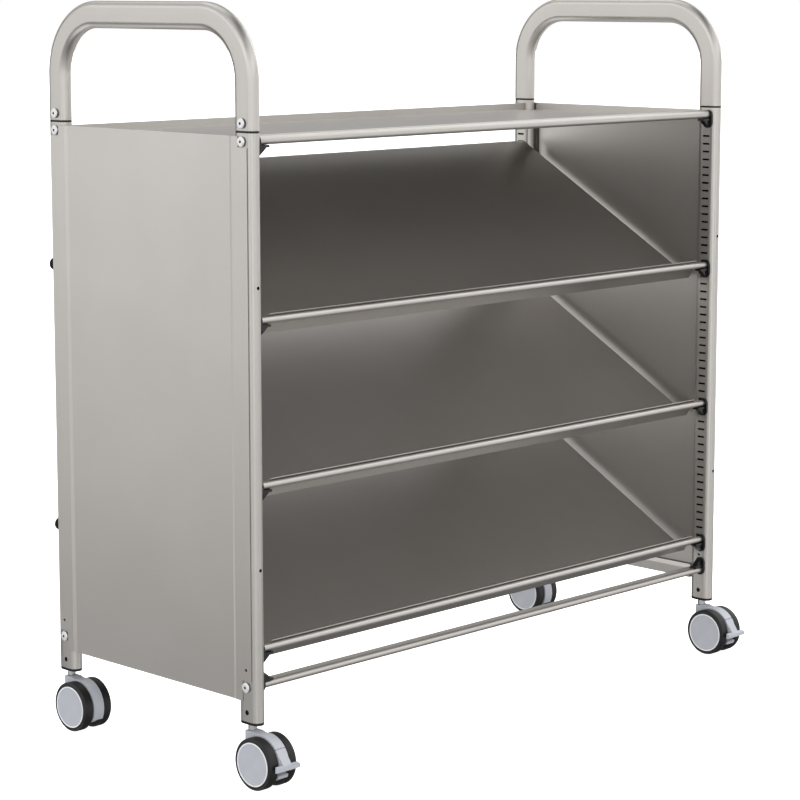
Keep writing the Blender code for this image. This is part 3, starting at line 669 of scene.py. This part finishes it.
def handle_tube(name, node):
    """A closed solid through the ovals of a handle."""
    low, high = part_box(node)
    mesh = bmesh.new()
    loops = []
    for station in handle_path(low, high):
        loops.append([mesh.verts.new(spot) for spot in oval_ring((low.x + high.x) / 2, station)])
    for first, second in zip(loops, loops[1:]):
        for number in range(len(first)):
            after = (number + 1) % len(first)
            mesh.faces.new((first[number], first[after], second[after], second[number]))
    mesh.faces.new(loops[0])
    mesh.faces.new(loops[-1])
    return shaded_piece(name, mesh, flats=True)


for hand in HANDS:
    node = f"handle_{hand}"
    tube = handle_tube(f"handle_tube_{hand}", node)
    dress(tube, PAINT)
    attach(tube, "frame")
    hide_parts(node)
print("two handles with", len(tube.data.vertices), "points each")

# %% [markdown]
# ## Bolts
#
# Button-head bolts hold the handles, the top brackets and the lower rods. They sit on the
# outer flats of the tubes: one just above the joint with the handle, one just below it and
# one near the foot, so their heights are counted from the top of the upright. A head is a
# flat button with a round edge and a small hexagon socket.

# %% Section of a bolt head
BOLT_RADIUS = 6.9 * MM
BOLT_RISE = 3.6 * MM
BOLT_EDGE = 1.5 * MM
BOLT_EDGE_STEPS = 6
SOCKET_DEPTH = 1.8 * MM
BOLT_STEPS = 36
BOLT_HEIGHTS = (12.7 * MM, -11.3 * MM, -751.8 * MM)


def bolt_head(name, place, facing):
    """A button head whose socket ring is pulled in to a hexagon."""
    corner = (BOLT_RISE - BOLT_EDGE, BOLT_RADIUS - BOLT_EDGE)
    edge = bend(corner, (BOLT_EDGE, BOLT_EDGE), 90, 0, BOLT_EDGE_STEPS)
    section = [(0.0, 0.0), (0.0, BOLT_RADIUS), *edge]
    section += [(BOLT_RISE, SOCKET_RADIUS), (BOLT_RISE - SOCKET_DEPTH, SOCKET_RADIUS)]
    section += [(BOLT_RISE - SOCKET_DEPTH, 0.0)]
    head = turned(name, section, place, facing, BOLT_STEPS, closed=False)
    for vertex in head.data.vertices:
        spread = math.hypot(vertex.co.y, vertex.co.z)
        if abs(spread - SOCKET_RADIUS) < WELD:
            angle = math.atan2(vertex.co.z, vertex.co.y) % (math.pi / 3) - math.pi / 6
            flat = math.cos(math.pi / 6) / math.cos(angle)
            vertex.co.y *= flat
            vertex.co.z *= flat
    return head


print("a bolt head is", round(2 * BOLT_RADIUS / MM, 1), "mm across")

# %% Put three bolts on each upright
for corner in CORNERS:
    low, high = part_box(f"upright_{corner}")
    facing = HANDS[corner.split("_")[1]]
    face_x = low.x if facing < 0 else high.x
    for number, height in enumerate(BOLT_HEIGHTS):
        place = (face_x, (low.y + high.y) / 2, high.z + height)
        bolt = bolt_head(f"bolt_{corner}_{number + 1}", place, facing)
        dress(bolt, BOLT)
        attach(bolt, "frame")
print("bolts at", [round(high.z + height, 3) for height in BOLT_HEIGHTS])

# %% [markdown]
# ## Folds at the ends of the shelves
#
# A long sheet shelf is stiff because its edges are folded. The folds at its ends hang under
# the slope, where the photograph cannot show them, but it does show their shade: light from
# behind passes under a shelf to the end panel, and the glow beside the shelf is narrow. Each
# fold is a strip along the slope, cut at a slant at both ends so that the corners stay free.
# The tabs at the back of a shelf reach furthest, so its slope ends at the X before theirs.

# %% Find the slope of a shelf
SHEET = 1.2 * MM
CLOSE = 2 * MM


def middle_near(spots, spot):
    """The middle of the spots that lie close to one of them."""
    group = [other for other in spots if (other - spot).length < CLOSE]
    return sum(group, Vector()) / len(group)


def slope_end(name):
    """The front and the back end of a shelf's slope at the right, in the middle of the sheet."""
    spots = [vertex.co for vertex in nodes[name].data.vertices]
    slope_x = sorted({round(spot.x, 5) for spot in spots})[-2]
    end = [spot for spot in spots if abs(spot.x - slope_x) < WELD]
    front = min(end, key=lambda spot: spot.z)
    top = max(spot.z for spot in end)
    back = min((spot for spot in end if top - spot.z < CLOSE), key=lambda spot: spot.y)
    return middle_near(end, front), middle_near(end, back)


print("the upper slope runs from", *slope_end("tilted_shelf_upper"))

# %% Hang a fold under both ends of each slope
FOLD_DEPTH = 14 * MM
FOLD_INSET = 12 * MM


def strip(name, outline, first_x, second_x):
    """A closed solid between two copies of an outline of Y, Z pairs."""
    mesh = bmesh.new()
    sides = []
    for x in (first_x, second_x):
        sides.append([mesh.verts.new((x, y, z)) for y, z in outline])
    for number in range(len(outline)):
        after = (number + 1) % len(outline)
        mesh.faces.new((sides[0][number], sides[0][after], sides[1][after], sides[1][number]))
    for side in sides:
        mesh.faces.new(side)
    return shaded_piece(name, mesh, flats=True)


def end_fold(name, shelf, side):
    """A strip of sheet under a slope, flush with the shelf's end."""
    front, back = slope_end(shelf)
    along = (back - front).normalized()
    down = along.cross(Vector((1, 0, 0)))
    down *= -1 if down.z > 0 else 1
    reach = FOLD_INSET + FOLD_DEPTH
    outline = [
        front + along * FOLD_INSET + down * SHEET / 2,
        back - along * FOLD_INSET + down * SHEET / 2,
        back - along * reach + down * FOLD_DEPTH,
        front + along * reach + down * FOLD_DEPTH,
    ]
    return strip(name, [spot.yz for spot in outline], side * front.x, side * (front.x - SHEET))


for level in LEVELS:
    for hand, side in HANDS.items():
        fold = end_fold(f"shelf_end_fold_{level}_{hand}", f"tilted_shelf_{level}", side)
        dress(fold, PAINT)
        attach(fold, "frame")
print("six folds", FOLD_DEPTH / MM, "mm deep")

# %% [markdown]
# ## Hem of the tray
#
# The shelves end in a bare lip above their rods, with a dark line below it. The photograph
# shows no such line under the tray, so its lip is rolled down over the rod. The hem is a
# wedge between two arcs: the rod's own, and a taller one that closes on the rod's front.

# %% Roll the lip of the tray over the top rod
HEM_GAP = 0.05 * MM
HEM_STEPS = 16


def tray_hem(name):
    """A wedge that runs from the end of the lip to the front of the rod."""
    low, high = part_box("rod_top_front")
    rod = middle("rod_top_front")
    lip_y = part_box("top_tray")[0].y - HEM_GAP
    spots = [vertex.co for vertex in nodes["top_tray"].data.vertices]
    lip_end = [spot for spot in spots if spot.y < lip_y + SHEET / 2]
    half = max(spot.x for spot in lip_end)
    tall = max(spot.z for spot in lip_end) - rod.z
    radius = (high.z - low.z) / 2 + HEM_GAP
    outline = bend((lip_y, rod.z), (lip_y - low.y + 2 * HEM_GAP, tall), 90, 180, HEM_STEPS)
    outline += bend((rod.y, rod.z), (radius, radius), 180, 90, HEM_STEPS)
    return strip(name, outline, -half, half)


hem = tray_hem("tray_hem")
dress(hem, PAINT)
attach(hem, "frame")
print("rolled the lip over the rod,", len(hem.data.vertices), "points")

# %% [markdown]
# ## Camera
#
# The photograph was taken with a long lens from the front left, a little above the top tray.
# Lens, place and direction were worked out from the known right angles of the frame.

# %% Set up the camera
IMAGE_SIDE = 800
FOCAL_PIXELS = 2529.6
SENSOR = 36.0
CAMERA_PLACE = (-2.7435, -2.6603, 1.0785)
CAMERA_TURN = math.radians(45.544)
CAMERA_TILT = math.radians(8.392)
CAMERA_SHIFT = -0.05

camera_data = bpy.data.cameras.new("camera")
camera_data.sensor_width = SENSOR
camera_data.lens = FOCAL_PIXELS / IMAGE_SIDE * SENSOR
camera_data.shift_y = CAMERA_SHIFT
camera = bpy.data.objects.new("camera", camera_data)
camera.location = CAMERA_PLACE
camera.rotation_euler = (math.pi / 2 - CAMERA_TILT, 0.0, -CAMERA_TURN)
scene.collection.objects.link(camera)
scene.camera = camera
print("lens", round(camera_data.lens, 1), "mm")

# %% [markdown]
# ## Floor and light
#
# The picture is a plain studio shot: a white floor without an edge, in a room of soft light.
# A silver coat mirrors its room, so the light has to be a whole room: rings of sun lamps at
# several heights, each as broad as a large soft box. They are strong overhead and at eye
# level, apart from the back, and few below, which lets the end panel fade towards the floor.
# A single key light would leave most of the coat black, with nothing else to mirror.
# The floor is only a backdrop: it gives no light, casts no shadow and isn't mirrored.

# %% White floor
WHITE = (1, 1, 1, 1)
FLOOR_RADIUS = 40.0
FLOOR_STEPS = 64
FLOOR_TONES = ((0.80, 0.80, 0.80), (0.84, 0.84, 0.84))
FLOOR_DRIFT = 3
FLOOR_ROUGHNESS = 0.9
FLOOR_GLOW = 1.0


def white_floor():
    """A wide disc that shines to the camera and to nothing else."""
    mesh = bmesh.new()
    bmesh.ops.create_circle(mesh, cap_ends=True, segments=FLOOR_STEPS, radius=FLOOR_RADIUS)
    data = bpy.data.meshes.new("floor")
    mesh.to_mesh(data)
    mesh.free()
    material, tree, shader, place = start_finish("white_floor")
    tone = two_tones(tree, noise(tree, place, FLOOR_DRIFT), *FLOOR_TONES)
    tree.links.new(tone, shader.inputs["Base Color"])
    shader.inputs["Roughness"].default_value = FLOOR_ROUGHNESS
    shader.inputs["Emission Color"].default_value = WHITE
    shader.inputs["Emission Strength"].default_value = FLOOR_GLOW
    data.materials.append(material)
    floor = bpy.data.objects.new("floor", data)
    floor.visible_diffuse = False
    floor.visible_glossy = False
    floor.visible_shadow = False
    scene.collection.objects.link(floor)


white_floor()
print("the floor reaches", FLOOR_RADIUS, "m")

# %% White sky that gives little light
SKY = 0.14

world = bpy.data.worlds.new("studio")
world.use_nodes = True
scene.world = world
scene.view_settings.view_transform = "Standard"
sky_tree = world.node_tree
dim = sky_tree.nodes["Background"]
dim.inputs["Color"].default_value = WHITE
dim.inputs["Strength"].default_value = SKY
white = sky_tree.nodes.new("ShaderNodeBackground")
white.inputs["Color"].default_value = WHITE
path = sky_tree.nodes.new("ShaderNodeLightPath")
choose = sky_tree.nodes.new("ShaderNodeMixShader")
sky_tree.links.new(path.outputs["Is Camera Ray"], choose.inputs["Fac"])
sky_tree.links.new(dim.outputs["Background"], choose.inputs[1])
sky_tree.links.new(white.outputs["Background"], choose.inputs[2])
sky_tree.links.new(choose.outputs["Shader"], sky_tree.nodes["World Output"].inputs["Surface"])
print("the sky gives", SKY, "of what it shows")

# %% Rings of broad sun lamps
SUN_BREADTH = math.radians(45)
# For each height, the strength of the lamps at their bearings
ROOM = {
    -50: {135: 0.55},
    -15: {180: 0.10, 225: 0.30, 270: 0.20, 315: 0.30},
    10: {0: 0.70, 45: 0.10, 135: 0.60, 180: 0.65, 225: 0.55, 270: 0.50, 315: 0.25},
    35: {0: 0.65, 45: 0.05, 90: 0.25, 135: 0.15, 180: 0.25, 225: 0.15, 270: 0.40, 315: 0.45},
    62: {72: 0.50, 144: 0.25},
    90: {0: 0.85},
}


def soft_sun(height, bearing, strength):
    """A sun at a height and a bearing from +X, both in degrees."""
    up = math.radians(height)
    turn = math.radians(bearing)
    towards = Vector((math.cos(up) * math.cos(turn), math.cos(up) * math.sin(turn), math.sin(up)))
    data = bpy.data.lights.new(f"sun_{height}_{bearing}", "SUN")
    data.energy = strength
    data.angle = SUN_BREADTH
    lamp = bpy.data.objects.new(data.name, data)
    lamp.rotation_euler = towards.to_track_quat("Z", "Y").to_euler()
    scene.collection.objects.link(lamp)
    return lamp


for height, ring in ROOM.items():
    for bearing, strength in ring.items():
        soft_sun(height, bearing, strength)
print(sum(len(ring) for ring in ROOM.values()), "suns")

# %% [markdown]
# A studio also has flags, which keep a lamp off one thing, and small lamps for one thing
# alone. Light linking gives both. Flags keep the lamps that shine in under the tray off the
# upper shelf, and the high lamps off the handles, whose bends would show glints. The bright
# lamp at the right is kept off the shelves and the fin of the lower rod too, and each shelf
# gets a weaker one. Small lamps fill the bends of the handles and the lines where the left
# panel steps over the tubes. Each is given by its height, bearing and strength.

# %% Flags
def link_light(lamp, pieces, state):
    """Lets a lamp leave out some pieces (EXCLUDE) or light nothing else (INCLUDE)."""
    group = bpy.data.collections.new(f"{lamp.name}_{state.lower()}")
    for piece in pieces:
        group.objects.link(piece)
    for entry in group.collection_objects:
        entry.light_linking.link_state = state
    lamp.light_linking.receiver_collection = group


handles = [bpy.data.objects[f"handle_tube_{hand}"] for hand in HANDS]
flags = {
    "sun_90_0": handles,
    "sun_35_0": handles + named("tilted_shelf", "rod_lower_front"),
}
for name in ("sun_10_0", "sun_35_45", "sun_35_90", "sun_62_72", "sun_62_144"):
    flags[name] = named("tilted_shelf_upper")
for name, pieces in flags.items():
    link_light(bpy.data.objects[name], pieces, "EXCLUDE")
print(len(flags), "lamps have flags")

# %% Small lamps
SHELF_LAMPS = {"upper": (35, 0, 0.15), "middle": (35, 0, 0.40), "lower": (35, 0, 0.40)}
HANDLE_LAMPS = ((35, 5, 0.35), (-30, 330, 0.30), (-45, 15, 0.35), (-45, 80, 0.35))
PANEL_LAMPS = ((-5, 90, 0.45), (-5, 315, 0.40))

for level, lamp in SHELF_LAMPS.items():
    link_light(soft_sun(*lamp), named(f"tilted_shelf_{level}"), "INCLUDE")
for lamp in HANDLE_LAMPS:
    link_light(soft_sun(*lamp), handles, "INCLUDE")
for lamp in PANEL_LAMPS:
    link_light(soft_sun(*lamp), named("end_panel_left"), "INCLUDE")
print(len(bpy.data.lights), "lamps in all")
